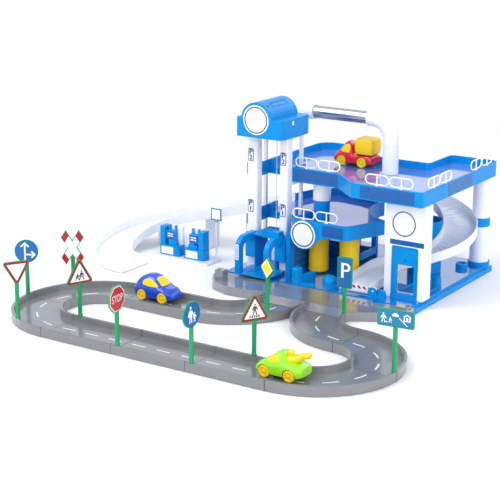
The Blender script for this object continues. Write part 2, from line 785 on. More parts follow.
RIM_MIDDLE = RIM_WALL / 2
RAILS = (
    ("guard_rail_1", TOWER_RIGHT + 70 * MM, DECK_1_FRONT + RIM_MIDDLE, 0.0, DECK_1_FLOOR),
    ("guard_rail_2", TOWER_RIGHT + 3 * MM + RAIL_LENGTH / 2, DECK_2_FRONT_LEFT + RIM_MIDDLE, 0.0,
     DECK_2_FLOOR),
    ("guard_rail_3", SPIRAL_X + 22 * MM, DECK_2_FRONT_RIGHT + RIM_MIDDLE, 0.0, DECK_2_FLOOR),
    ("guard_rail_4", BASE_RIGHT - RIM_MIDDLE, BASE_FRONT + 92 * MM, math.pi / 2, DECK_2_FLOOR),
    ("guard_rail_5", BASE_RIGHT - RIM_MIDDLE, BASE_BACK - 79 * MM, math.pi / 2, DECK_2_FLOOR),
)


def side_panel(floor):
    """The rim's run along the lift shaft's left side, up to the tower's column."""
    x = (DECK_LEFT + RIM_WALL - SIDE_PANEL, DECK_LEFT + RIM_WALL)
    y = (COLUMN_FRONT + COLUMN_DEPTH + SEAT_GAP, DECK_BACK_OF_SHAFT + 8 * MM)
    return box(x, y, (floor - RIM_DOWN + 0.5 * MM, floor + RIM_UP - 0.5 * MM))


def lobe_features():
    """The round boss on the first deck's front, with a fillet that runs out to the right."""
    top = DECK_1_FLOOR + RIM_UP - 0.3 * MM
    ring = [(x, min(z, top)) for x, z in circle(LOBE_X, LOBE_Z, LOBE_RADIUS, 40)]
    front = DECK_1_FRONT - LOBE_THICK
    disc = upright(slab(ring, [], 0.0, LOBE_THICK + RIM_WALL / 2), front)
    low = DECK_1_LOW + 4 * MM
    fillet = [(LOBE_X + 18 * MM, LOBE_Z - 19 * MM), (LOBE_X + 30 * MM, LOBE_Z - 9 * MM),
              (LOBE_X + 45 * MM, DECK_1_LOW + 0.5 * MM), (LOBE_X + 45 * MM, low),
              (LOBE_X + 10 * MM, low)]
    web = upright(slab(fillet, [], 0.0, LOBE_THICK + RIM_WALL / 2 - 1 * MM), front + 0.4 * MM)
    return [disc, web]


def make_deck_1():
    deck = mesh_object("deck_1", tray(deck_1_outline(), DECK_1_FLOOR), blue())
    under = DECK_1_UNDER + 1 * MM
    legs = [deck_leg(-150 * MM, 60 * MM, BASE_FLOOR, under),
            deck_leg(-60 * MM, 100 * MM, BASE_FLOOR, under),
            deck_leg(-8 * MM, 76 * MM, BASE_FLOOR, under)]
    add(deck, *legs, roller_socket(*ROLLER_LEFT), roller_socket(*ROLLER_RIGHT))
    socket = tube(SHORT_SOCKET_RADIUS, COLUMN_WALL, DECK_1_FLOOR - 1 * MM, SHORT_COLUMN_LOW,
                  SHORT_COLUMN, 24)
    add(deck, socket, side_panel(DECK_1_FLOOR))
    for shape in lobe_features():
        add(deck, shape)
    side = SIDE_HALF - SIDE_WALL
    ramp_gap = rim_gap((DECK_LEFT - 1 * MM, DECK_LEFT + 8 * MM),
                       (SIDE_Y - side + 2 * MM, SIDE_Y + side), DECK_1_FLOOR)
    shaft_gap = rim_gap((SHAFT_LEFT, SHAFT_RIGHT),
                        (DECK_BACK_OF_SHAFT - 1 * MM, DECK_BACK_OF_SHAFT + 8 * MM), DECK_1_FLOOR)
    top = DECK_1_FLOOR + RIM_UP
    cut(deck, ramp_gap, shaft_gap, *rail_slot(*RAILS[0][1:4], top))


def make_deck_2():
    deck = mesh_object("deck_2", tray(deck_2_outline(), DECK_2_FLOOR), blue())
    add(deck, side_panel(DECK_2_FLOOR))
    shaft_gap = rim_gap((SHAFT_LEFT, SHAFT_RIGHT),
                        (DECK_BACK_OF_SHAFT - 1 * MM, DECK_BACK_OF_SHAFT + 8 * MM), DECK_2_FLOOR)
    centre = SPIRAL_Y + SPIRAL_RADIUS
    half = RAMP_HALF - RAMP_WALL
    ramp_gap = rim_gap((RAMP_TOP_X - 8 * MM, RAMP_TOP_X + 1 * MM),
                       (centre - half, centre + half), DECK_2_FLOOR)
    top = DECK_2_FLOOR + RIM_UP
    slots = [slot for rail in RAILS[1:] for slot in rail_slot(*rail[1:4], top)]
    post_seat = rod(HANDLE_ELBOW_RADIUS - 4 * MM + PIN_GAP, DECK_2_UNDER - 1 * MM,
                    DECK_2_FLOOR + 1 * MM, 24, (HANDLE_POST_X, HANDLE_Y))
    cut(deck, shaft_gap, ramp_gap, post_seat, *slots)


def make_tower():
    """The white frame of the lift shaft: two front columns, two rear posts, sills and a top."""
    column_back = COLUMN_FRONT + COLUMN_DEPTH
    post_front = REAR_POST_BACK - REAR_POST
    low = BASE_FLOOR + SEAT_GAP
    plate_low = TOWER_TOP - TOWER_PLATE
    outer = [(TOWER_LEFT, COLUMN_FRONT), (TOWER_RIGHT, COLUMN_FRONT),
             (TOWER_RIGHT, REAR_POST_BACK), (TOWER_LEFT, REAR_POST_BACK)]
    hole = [(SHAFT_LEFT + 3 * MM, COLUMN_FRONT + 12 * MM),
            (SHAFT_RIGHT - 3 * MM, COLUMN_FRONT + 12 * MM),
            (SHAFT_RIGHT - 3 * MM, post_front), (SHAFT_LEFT + 3 * MM, post_front)]
    tower = mesh_object("lift_tower", slab(outer, [hole], plate_low, TOWER_TOP), white())
    pieces = []
    for left, right in ((TOWER_LEFT - COLUMN_FLARE, SHAFT_LEFT), (SHAFT_RIGHT, TOWER_RIGHT)):
        column = rounded([(left, COLUMN_FRONT), (right, COLUMN_FRONT), (right, column_back),
                          (left, column_back)], 4 * MM, 3)
        pieces.append(prism(column, low, TOWER_TOP - TOWER_PLATE / 2))
    add(tower, *pieces)
    rear = []
    for left in (TOWER_LEFT, TOWER_RIGHT - REAR_POST):
        x = (left, left + REAR_POST)
        rear.append(box(x, (post_front, REAR_POST_BACK), (low, TOWER_TOP - TOWER_PLATE / 2)))
    add(tower, *rear)
    sills = []
    for left in (TOWER_LEFT, TOWER_RIGHT - REAR_POST):
        x = (left + 1 * MM, left + REAR_POST - 1 * MM)
        y = (column_back - 3 * MM, REAR_POST_BACK - 1 * MM)
        sills.append(box(x, y, (low + 0.5 * MM, low + TOWER_SILL)))
        if left == TOWER_LEFT:
            continue
        for floor in (DECK_1_FLOOR, DECK_2_FLOOR):
            sills.append(box(x, y, (floor - 20 * MM, floor - 15 * MM)))
    add(tower, *sills)


def cap_solid(left, right, front, back, low, high, barrel_radius, barrel_front, barrel_back):
    """The outer or the inner form of the cap: a box with a barrel lying along its top."""
    outline = rounded([(left, front), (right, front), (right, back), (left, back)], 8 * MM)
    block = prism(outline, low, high)
    barrel = along_y(rod(barrel_radius, barrel_front, barrel_back), CAP_BARREL_X, 0.0, WINCH_Z
                     + 12 * MM)
    return block, barrel


def make_cap():
    """The blue cap: a shell open below, with bearings for the winch in its side walls."""
    high = CAP_Z + CAP_BOX_HEIGHT
    barrel_back = CAP_FRONT + CAP_BARREL_LENGTH
    block, barrel = cap_solid(CAP_LEFT, CAP_RIGHT, CAP_FRONT, CAP_BACK, CAP_Z, high,
                              CAP_BARREL_RADIUS, CAP_FRONT, barrel_back)
    cap = mesh_object("lift_cap", block, blue())
    add(cap, barrel)
    wall = CAP_WALL
    inner_block, inner_barrel = cap_solid(
        CAP_LEFT + wall, CAP_RIGHT - wall, CAP_FRONT + wall, CAP_BACK - wall, CAP_Z - 5 * MM,
        high - wall, CAP_BARREL_RADIUS - wall, CAP_FRONT + wall, barrel_back - wall)
    cut(cap, inner_block)
    cut(cap, inner_barrel)
    bearing_left = along_x(rod(WINCH_SHAFT + 4 * MM, CAP_LEFT + wall - 1 * MM,
                               CAP_LEFT + wall + 6 * MM, 20), 0.0, WINCH_Y, WINCH_Z)
    bearing_right = along_x(rod(WINCH_SHAFT + 4 * MM, CAP_RIGHT - wall - 8 * MM,
                                CAP_RIGHT - wall + 1 * MM, 20), 0.0, WINCH_Y, WINCH_Z)
    add(cap, bearing_left, bearing_right)
    bore = along_x(rod(WINCH_SHAFT + PIN_GAP, CAP_LEFT - 5 * MM, CAP_RIGHT - wall - 1 * MM, 20),
                   0.0, WINCH_Y, WINCH_Z)
    elbow_seat = along_y(rod(HANDLE_ELBOW_RADIUS - 4 * MM + PIN_GAP, CAP_BACK - wall - 2 * MM,
                             CAP_BACK + 2 * MM), HANDLE_LEFT_X, 0.0, HANDLE_Z - 6 * MM)
    window = box((CAP_RIGHT - wall - 1 * MM, CAP_RIGHT + 1 * MM), CAP_WINDOW_Y, CAP_WINDOW_Z)
    cut(cap, bore, elbow_seat, window)


def make_winch():
    """Drum, shaft and crank, which turn together on the shaft's axis."""
    shaft_end = CAP_RIGHT - CAP_WALL - 2 * MM
    crank_x = CAP_LEFT - 1 * MM
    drum_low = SHAFT_X - WINCH_LENGTH / 2
    drum_high = SHAFT_X + WINCH_LENGTH / 2
    step = 2 * MM
    profile = [(WINCH_SHAFT, crank_x - CRANK_ARM / 2), (WINCH_SHAFT, drum_low - step),
               (WINCH_FLANGE, drum_low - step), (WINCH_FLANGE, drum_low),
               (WINCH_RADIUS, drum_low), (WINCH_RADIUS, drum_high),
               (WINCH_FLANGE, drum_high), (WINCH_FLANGE, drum_high + step),
               (WINCH_SHAFT, drum_high + step), (WINCH_SHAFT, shaft_end)]
    shape = along_x(spindle(profile, 24), 0.0, WINCH_Y, WINCH_Z)
    winch = mesh_object("winch_drum", shape, white(), (SHAFT_X, WINCH_Y, WINCH_Z))
    half = 5 * MM
    arm = box((crank_x - CRANK_ARM, crank_x), (WINCH_Y - half, WINCH_Y + half),
              (WINCH_Z - CRANK_REACH - half, WINCH_Z + half))
    knob = along_x(rod(4 * MM, -CRANK_KNOB, 0.0, 16), crank_x - CRANK_ARM / 2, WINCH_Y,
                   WINCH_Z - CRANK_REACH)
    helper_shapes = [arm, knob]
    for shape in helper_shapes:
        shape.transform(Matrix.Translation(-Vector((SHAFT_X, WINCH_Y, WINCH_Z))))
    add(winch, *helper_shapes)
    follow(winch, "winch_drum_union")


def follow(owner, helper_name):
    """Places a helper whose shape was made around its owner's origin."""
    bpy.data.objects[helper_name].location = owner.location


def make_cord():
    """The lift cord, from the drum's side down to the cabin's bridge."""
    y = WINCH_Y - WINCH_RADIUS - CORD_RADIUS - SEAT_GAP
    low = CABIN_FLOOR + CABIN_HEIGHT + CABIN_WALL + SEAT_GAP
    mesh_object("lift_cord", rod(CORD_RADIUS, low, WINCH_Z, 8, (SHAFT_X, y)), cord_black())


def sideways(shape, x):
    """Stands a plate drawn in Y and Z up across the X axis, its thickness running from x."""
    shape.transform(Matrix(((0, 0, 1, x), (1, 0, 0, 0), (0, 1, 0, 0), (0, 0, 0, 1))))
    return facing_out(shape)


def cabin_arm(left):
    """One front arm: it stands at the platform's front and bends back to the cabin's shield."""
    low = CABIN_FLOOR - CABIN_PLATE
    high = CABIN_FLOOR + CABIN_HEIGHT + 4 * MM
    back = COLUMN_FRONT - 4 * MM
    inner = CABIN_FRONT + CABIN_ARM_DEPTH
    under = high - CABIN_ARM_DEPTH
    profile = rounded([(CABIN_FRONT, low, 0), (inner, low, 0),
                       (inner, under, CABIN_ARM_BEND - CABIN_ARM_DEPTH), (back, under, 0),
                       (back, high, 0), (CABIN_FRONT, high, CABIN_ARM_BEND)], 0, 6)
    return sideways(slab(profile, [], 0.0, CABIN_ARM), left)


def make_cabin():
    """The lift cabin: its platform and arms stand before the columns, its car floor between."""
    low = CABIN_FLOOR - CABIN_PLATE
    wall_top = CABIN_FLOOR + CABIN_HEIGHT
    left = SHAFT_LEFT + SLIDE_GAP
    right = SHAFT_RIGHT - SLIDE_GAP
    arm_left = TOWER_LEFT + 10 * MM
    arm_right = TOWER_RIGHT - 12 * MM
    shield_back = COLUMN_FRONT - SLIDE_GAP * 2
    shield = (shield_back - CABIN_SHIELD, shield_back)
    platform = box((arm_left - 1 * MM, arm_right + CABIN_ARM + 1 * MM), (CABIN_FRONT, shield_back),
                   (low, CABIN_FLOOR))
    cabin = mesh_object("lift_cabin", platform, blue())
    add(cabin, cabin_arm(arm_left), cabin_arm(arm_right))
    shields = [box((TOWER_LEFT - 1 * MM, left + 2 * MM), shield, (CABIN_SHIELD_LOW, wall_top)),
               box((right - 2 * MM, TOWER_RIGHT + 3 * MM), shield, (CABIN_SHIELD_LOW, wall_top))]
    add(cabin, *shields)
    floor_plate = box((left, right), (shield[0], CABIN_BACK), (low + 0.2 * MM, CABIN_FLOOR
                      - 0.2 * MM))
    add(cabin, floor_plate)
    y = (shield[0] + 1 * MM, CABIN_BACK - 12 * MM)
    walls = [box(x, y, (low + 1 * MM, wall_top - 0.5 * MM))
             for x in ((left, left + CABIN_WALL), (right - CABIN_WALL, right))]
    add(cabin, *walls)
    roof = box((left + 0.5 * MM, right - 0.5 * MM), (shield[0] - 8 * MM, WINCH_Y + 6 * MM),
               (wall_top - 1 * MM, wall_top + CABIN_WALL))
    add(cabin, roof)
    hood = box((SHAFT_X + 1 * MM, SHAFT_X + 37 * MM),
               (shield_back - HOOD_DEPTH, shield_back - 0.5 * MM), (wall_top - 2 * MM, wall_top
                + HOOD_HEIGHT))
    add(cabin, hood)


def bend_rings(radius, points):
    """Rings of a tube along a path of (centre, direction) stations, for the handle's elbows."""
    rings = []
    for centre, direction in points:
        side = direction.orthogonal().normalized()
        if abs(direction.z) < 0.99:
            side = direction.cross(Vector((0, 0, 1))).normalized()
        if abs(direction.z) >= 0.99:
            side = Vector((0, -1, 0))
        up = side.cross(direction).normalized()
        ring = []
        for i in range(24):
            angle = 2 * math.pi * i / 24
            ring.append(centre + side * radius * math.cos(angle) + up * radius * math.sin(angle))
        rings.append(ring)
    return rings


def make_handle_left():
    """The white elbow from the chromed tube to the back of the cap."""
    bend = HANDLE_TUBE_LEFT - HANDLE_LEFT_X
    centre = Vector((HANDLE_TUBE_LEFT, HANDLE_Y - bend, HANDLE_Z))
    points = [(Vector((HANDLE_TUBE_LEFT + 10 * MM, HANDLE_Y, HANDLE_Z)), Vector((-1, 0, 0)))]
    for k in range(7):
        angle = math.radians(90 + 15 * k)
        spoke = Vector((math.cos(angle), math.sin(angle), 0.0))
        points.append((centre + spoke * bend, Vector((-math.sin(angle), math.cos(angle), 0.0))))
    points.append((Vector((HANDLE_LEFT_X, CAP_BACK + SEAT_GAP, HANDLE_Z)), Vector((0, -1, 0))))
    elbow = mesh_object("handle_elbow_left", loft(bend_rings(HANDLE_ELBOW_RADIUS, points)),
                        white())
    plug = along_y(rod(HANDLE_ELBOW_RADIUS - 4 * MM, -HANDLE_PLUG, 3 * MM, 24), HANDLE_LEFT_X,
                   CAP_BACK, HANDLE_Z - 6 * MM)
    add(elbow, plug)
    socket = along_x(rod(HANDLE_TUBE_RADIUS + PIN_GAP, HANDLE_TUBE_LEFT,
                         HANDLE_TUBE_LEFT + 12 * MM, 24), 0.0, HANDLE_Y, HANDLE_Z)
    cut(elbow, socket)


def make_handle_right():
    """The white elbow and post from the chromed tube down to the second deck."""
    bend = HANDLE_POST_X - HANDLE_TUBE_RIGHT
    centre = Vector((HANDLE_TUBE_RIGHT, HANDLE_Y, HANDLE_Z - bend))
    points = [(Vector((HANDLE_TUBE_RIGHT - 10 * MM, HANDLE_Y, HANDLE_Z)), Vector((1, 0, 0)))]
    for k in range(7):
        angle = math.radians(90 - 15 * k)
        spoke = Vector((math.cos(angle), 0.0, math.sin(angle)))
        points.append((centre + spoke * bend, Vector((math.sin(angle), 0.0, -math.cos(angle)))))
    foot = DECK_2_FLOOR + SEAT_GAP
    points.append((Vector((HANDLE_POST_X, HANDLE_Y, foot)), Vector((0, 0, -1))))
    elbow = mesh_object("handle_post", loft(bend_rings(HANDLE_ELBOW_RADIUS, points)), white())
    plug = rod(HANDLE_ELBOW_RADIUS - 4 * MM, DECK_2_UNDER - 3 * MM, foot + 3 * MM, 24,
               (HANDLE_POST_X, HANDLE_Y))
    add(elbow, plug)
    socket = along_x(rod(HANDLE_TUBE_RADIUS + PIN_GAP, HANDLE_TUBE_RIGHT - 12 * MM,
                         HANDLE_TUBE_RIGHT, 24), 0.0, HANDLE_Y, HANDLE_Z)
    cut(elbow, socket)


def make_handle_tube():
    low = HANDLE_TUBE_LEFT + SEAT_GAP
    high = HANDLE_TUBE_RIGHT - SEAT_GAP
    shape = tube(HANDLE_TUBE_RADIUS, HANDLE_TUBE_WALL, low, high, sides=24)
    mesh_object("handle_tube", along_x(shape, 0.0, HANDLE_Y, HANDLE_Z), chrome())


def make_rear_column():
    """The round column at the back right corner, with its collar."""
    low = BASE_FLOOR + SEAT_GAP
    high = DECK_2_UNDER - SEAT_GAP
    ring_low, ring_high = REAR_COLUMN_RING
    upper = REAR_COLUMN_UPPER_RADIUS
    lower = REAR_COLUMN_LOWER_RADIUS
    cone = REAR_COLUMN_NECK + REAR_COLUMN_CONE
    profile = [(lower, low), (lower, REAR_COLUMN_NECK), (upper, cone), (upper, ring_low),
               (upper + 1 * MM, ring_low), (upper + 1 * MM, ring_high), (upper, ring_high),
               (upper, high)]
    column = mesh_object("rear_column", spindle(profile, 28, REAR_COLUMN), white())
    hollow = [(lower - COLUMN_WALL, low - 2 * MM), (lower - COLUMN_WALL, REAR_COLUMN_NECK),
              (upper - COLUMN_WALL, cone), (upper - COLUMN_WALL, high + 2 * MM)]
    cut(column, spindle(hollow, 28, REAR_COLUMN))


def make_columns():
    low = BASE_FLOOR + SEAT_GAP
    newel = tube(NEWEL_RADIUS, COLUMN_WALL, low, NEWEL_TOP, (SPIRAL_X, SPIRAL_Y), 28)
    mesh_object("spiral_newel", newel, blue())
    short = tube(SHORT_COLUMN_RADIUS, COLUMN_WALL, SHORT_COLUMN_LOW + SEAT_GAP,
                 DECK_2_UNDER - SEAT_GAP, SHORT_COLUMN, 24)
    mesh_object("short_column", short, white())


def spiral_path():
    """From the second deck's back left, along the back, round the newel and out to the front."""
    start = (RAMP_TOP_X + SEAT_GAP, SPIRAL_Y + SPIRAL_RADIUS, RAMP_SLOPE_START)
    run = straight_path(start, 0.0, SPIRAL_X - start[0], SPIRAL_TOP_Z - start[2], 2)
    spiral = turn_path(run[-1][:3], 0.0, SPIRAL_RADIUS, -180, SPIRAL_LOW_Z - SPIRAL_TOP_Z, 20)
    turn = turn_path(spiral[-1][:3], math.pi, EXIT_TURN_RADIUS, 90, EXIT_TURN_Z - SPIRAL_LOW_Z, 8)
    rest = turn[-1][1] - EXIT_END_Y
    leave = straight_path(turn[-1][:3], 1.5 * math.pi, rest, EXIT_Z - EXIT_TURN_Z, 1)
    return joined(run, spiral, turn, leave)


def make_spiral():
    section = trough(RAMP_HALF, RAMP_WALL, RAMP_SIDE, RAMP_SKIN)
    ramp = mesh_object("spiral_ramp", sweep(section, spiral_path()), white())
    x = SPIRAL_X - EXIT_TURN_RADIUS
    half = 4 * MM
    low = BASE_FLOOR + SEAT_GAP
    foot = box((x - 20 * MM, x + 20 * MM), (-80 * MM - half, -80 * MM + half), (low, 22 * MM))
    add(ramp, foot)


def side_path():
    """From the first deck's left edge, along -X, then round to the left and down to the ground."""
    start = (DECK_LEFT - SEAT_GAP, SIDE_Y, DECK_1_FLOOR)
    run = straight_path(start, math.pi, start[0] - SIDE_TURN_X, SIDE_TURN_Z - DECK_1_FLOOR, 2)
    drop = SIDE_GROUND_Z - SIDE_TURN_Z
    turn = turn_path(run[-1][:3], math.pi, SIDE_TURN_RADIUS, SIDE_GROUND_ANGLE, drop, 16)
    flat = turn_path(turn[-1][:3], math.pi + math.radians(SIDE_GROUND_ANGLE), SIDE_TURN_RADIUS,
                     180 - SIDE_GROUND_ANGLE, 0.0, 7)
    return joined(run, turn, flat)


def make_side_ramp():
    section = trough(SIDE_HALF, SIDE_WALL, SIDE_SIDE, RAMP_SKIN)
    ramp = mesh_object("side_ramp", sweep(section, side_path()), white())
    slope = (DECK_1_FLOOR - SIDE_TURN_Z) / (DECK_LEFT - SIDE_TURN_X)
    legs = []
    for x in (-250 * MM, -350 * MM):
        top = SIDE_TURN_Z + (x - SIDE_TURN_X) * slope - RAMP_SKIN / 2 - 1 * MM
        legs.append(box((x - 4 * MM, x + 4 * MM), (SIDE_Y - 20 * MM, SIDE_Y + 20 * MM), (0.0, top)))
    centre_y = SIDE_Y - SIDE_TURN_RADIUS
    angle = math.radians(90 + 40)
    share = 40 / SIDE_GROUND_ANGLE
    top = SIDE_TURN_Z + (SIDE_GROUND_Z - SIDE_TURN_Z) * share - RAMP_SKIN / 2 - 1 * MM
    x = SIDE_TURN_X + SIDE_TURN_RADIUS * math.cos(angle)
    y = centre_y + SIDE_TURN_RADIUS * math.sin(angle)
    legs.append(rod(12 * MM, 0.0, top, 12, (x, y)))
    add(ramp, *legs)


def make_portal():
    """The white service portal: a shell open behind, with a mouth for the door frame."""
    low = BASE_FLOOR + SEAT_GAP
    high = DECK_2_LOW - SEAT_GAP
    outer = rounded([(PORTAL_LEFT, low, 0), (PORTAL_RIGHT, low, 0), (PORTAL_RIGHT, high, 3 * MM),
                     (PORTAL_LEFT, high, 3 * MM)], 0)
    mouth = portal_mouth(0.0)
    front = slab(outer, [mouth], 0.0, PORTAL_DEPTH)
    portal = mesh_object("service_portal", upright(front, PORTAL_FRONT), white())
    wall = PORTAL_WALL
    y = (PORTAL_FRONT + wall, PORTAL_FRONT + PORTAL_DEPTH + 1 * MM)
    hollow_head = box((PORTAL_LEFT + wall, PORTAL_RIGHT - wall), y,
                      (PORTAL_MOUTH_TOP + wall, high - wall))
    cut(portal, hollow_head)


def portal_mouth(gap):
    """The mouth in the portal, or what fills it with a gap all round, in X and Z."""
    left = PORTAL_LEFT + PORTAL_LEG_LEFT + gap
    right = PORTAL_RIGHT - PORTAL_LEG_RIGHT - gap
    low = BASE_FLOOR + SEAT_GAP + (3 * MM if gap == 0 else gap - SEAT_GAP)
    high = PORTAL_MOUTH_TOP - gap
    return rounded([(left, low, 0), (right, low, 0), (right, high, 5 * MM), (left, high, 5 * MM)],
                   0)


def make_door():
    """The blue door frame in the portal's mouth, with its window and a peephole."""
    left = PORTAL_LEFT + PORTAL_LEG_LEFT + SEAT_GAP
    right = PORTAL_RIGHT - PORTAL_LEG_RIGHT - SEAT_GAP
    low = BASE_FLOOR + SEAT_GAP + 3 * MM + SEAT_GAP
    high = PORTAL_MOUTH_TOP - SEAT_GAP
    outer = rounded([(left, low, 0), (right, low, 0), (right, high, 5 * MM), (left, high, 5 * MM)],
                    0)
    window = rounded([(left + DOOR_STILE, low + 4 * MM), (right - DOOR_STILE, low + 4 * MM),
                      (right - DOOR_STILE, DOOR_WINDOW_TOP), (left + DOOR_STILE, DOOR_WINDOW_TOP)],
                     2 * MM, 2)
    middle = (left + right) / 2
    peephole = circle(middle, DOOR_WINDOW_TOP + 9 * MM, 1.8 * MM, 10)
    frame = slab(outer, [window, peephole], 0.0, DOOR_DEPTH)
    mesh_object("service_door", upright(frame, PORTAL_FRONT + DOOR_SETBACK), blue())


def make_roller(name, x, y):
    """A yellow wash roller on its own pins."""
    crown = 0.8 * MM
    middle = (ROLLER_LOW + ROLLER_HIGH) / 2
    profile = [(ROLLER_PIN, 8 * MM), (ROLLER_PIN, ROLLER_LOW), (ROLLER_RADIUS - 2 * MM, ROLLER_LOW),
               (ROLLER_RADIUS, ROLLER_LOW + 2 * MM), (ROLLER_RADIUS - crown, middle),
               (ROLLER_RADIUS, ROLLER_HIGH - 2 * MM), (ROLLER_RADIUS - 2 * MM, ROLLER_HIGH),
               (ROLLER_PIN, ROLLER_HIGH), (ROLLER_PIN, ROLLER_HIGH + 6 * MM)]
    mesh_object(name, spindle(profile, 28, (x, y)), yellow(), (x, y, 0.0))


def make_barrier():
    """The barrier arm with its pin, lying level from its post to the rest post."""
    x, z = BARRIER_PIVOT_X, BARRIER_PIVOT_Z
    half = BARRIER_HEIGHT / 2
    outline = rounded([(x - BARRIER_REACH, z - half * 0.8), (x, z - half),
                       (x + BARRIER_TAIL, z - half * 0.8), (x + BARRIER_TAIL, z + half * 0.8),
                       (x, z + half), (x - BARRIER_REACH, z + half * 0.8)], 2 * MM, 3)
    arm = upright(slab(outline, [], 0.0, BARRIER_THICK), BARRIER_Y - BARRIER_THICK / 2)
    barrier = mesh_object("barrier_arm", arm, white(), (x, BARRIER_Y, z))
    length = BARRIER_THICK / 2 + SLIDE_GAP / 2 + BARRIER_CHEEK - SEAT_GAP
    pin = along_y(rod(BARRIER_PIN, -length, length, 12))
    add(barrier, pin)
    follow(barrier, "barrier_arm_union")


def rail_plate():
    """A guard rail's outline and holes: two long loops, each with an upright in its middle."""
    half = RAIL_HEIGHT / 2
    bend = RAIL_LENGTH / 2 - half
    waist = 3 * MM
    neck = waist + half * 0.3
    outline = circle(bend, 0.0, half, 8, -90, 180)
    outline += [(neck, half), (0.0, half - waist), (-neck, half)]
    outline += circle(-bend, 0.0, half, 8, 90, 180)
    outline += [(-neck, -half), (0.0, -half + waist), (neck, -half)]
    inner = half - RAIL_ROD
    post = RAIL_LENGTH / 4
    holes = []
    for side in (-1, 1):
        near = side * (post + RAIL_ROD / 2)
        far = circle(side * bend, 0.0, inner, 6, -90, 180 * side)
        holes.append([*far, (near, inner), (near, -inner)])
        edges = sorted((side * RAIL_ROD * 1.4, side * (post - RAIL_ROD / 2)))
        corners = [(edges[0], -inner), (edges[1], -inner), (edges[1], inner), (edges[0], inner)]
        holes.append(rounded(corners, 2.5 * MM, 2))
    return outline, holes


def make_rail(name, x, y, heading, floor):
    outline, holes = rail_plate()
    plate = slab(outline, holes, -RAIL_ROD / 2, RAIL_ROD / 2)
    top = floor + RIM_UP
    centre_z = top + SEAT_GAP + 1.5 * MM + RAIL_HEIGHT / 2
    stand = Matrix(((1, 0, 0, 0), (0, 0, 1, 0), (0, 1, 0, 0), (0, 0, 0, 1)))
    plate.transform(stand)
    place = Matrix.Translation((x, y, 0.0)) @ Matrix.Rotation(heading, 4, "Z")
    plate.transform(place @ Matrix.Translation((0, 0, centre_z)))
    rail = mesh_object(name, facing_out(plate), white())
    legs = []
    for side in (-RAIL_LENGTH / 4, RAIL_LENGTH / 4):
        half = RAIL_LEG / 2
        thin = RAIL_ROD / 4
        low = top - RAIL_CLIP
        legs.append(placed(box((side - half, side + half), (-thin, thin),
                               (low, centre_z - RAIL_HEIGHT / 2 + RAIL_ROD / 2)), place))
    add(rail, *legs)


def court_outline():
    """Anticlockwise round the forecourt, from the left end of the road's mouth."""
    back = BASE_FRONT - SEAT_GAP * 2
    mouth_y = ROAD_START[1] + ROAD_JOINT
    mouth_left = ROAD_START[0] - ROAD_HALF
    mouth_right = ROAD_START[0] + ROAD_HALF + ROAD_WIDTH
    bay = PORTAL_LEFT - 1 * MM
    return rounded([(mouth_left, mouth_y, 0), (mouth_right, mouth_y, 0),
                    (mouth_right + 4 * MM, mouth_y + 9 * MM, 4 * MM),
                    (mouth_right + 43 * MM, mouth_y + 31 * MM, 30 * MM),
                    (BASE_RIGHT - 3 * MM, BASE_FRONT - 38 * MM, 12 * MM),
                    (BASE_RIGHT, BASE_FRONT - 22 * MM, 6 * MM), (BASE_RIGHT, back + 4 * MM, 0),
                    (bay + 4 * MM, back - BASE_BAY_STEP, 0), (bay - 0.6 * MM, back, 0),
                    (BASE_LEFT + 4 * MM, back, 0), (BASE_LEFT + 1 * MM, BASE_FRONT - 32 * MM, 10 * MM),
                    (BASE_LEFT + 22 * MM, BASE_FRONT - 66 * MM, 30 * MM),
                    (BASE_LEFT + 66 * MM, BASE_FRONT - 84 * MM, 40 * MM),
                    (mouth_left - 50 * MM, BASE_FRONT - 83 * MM, 20 * MM),
                    (mouth_left - 6 * MM, BASE_FRONT - 70 * MM, 4 * MM)], 0, 5)


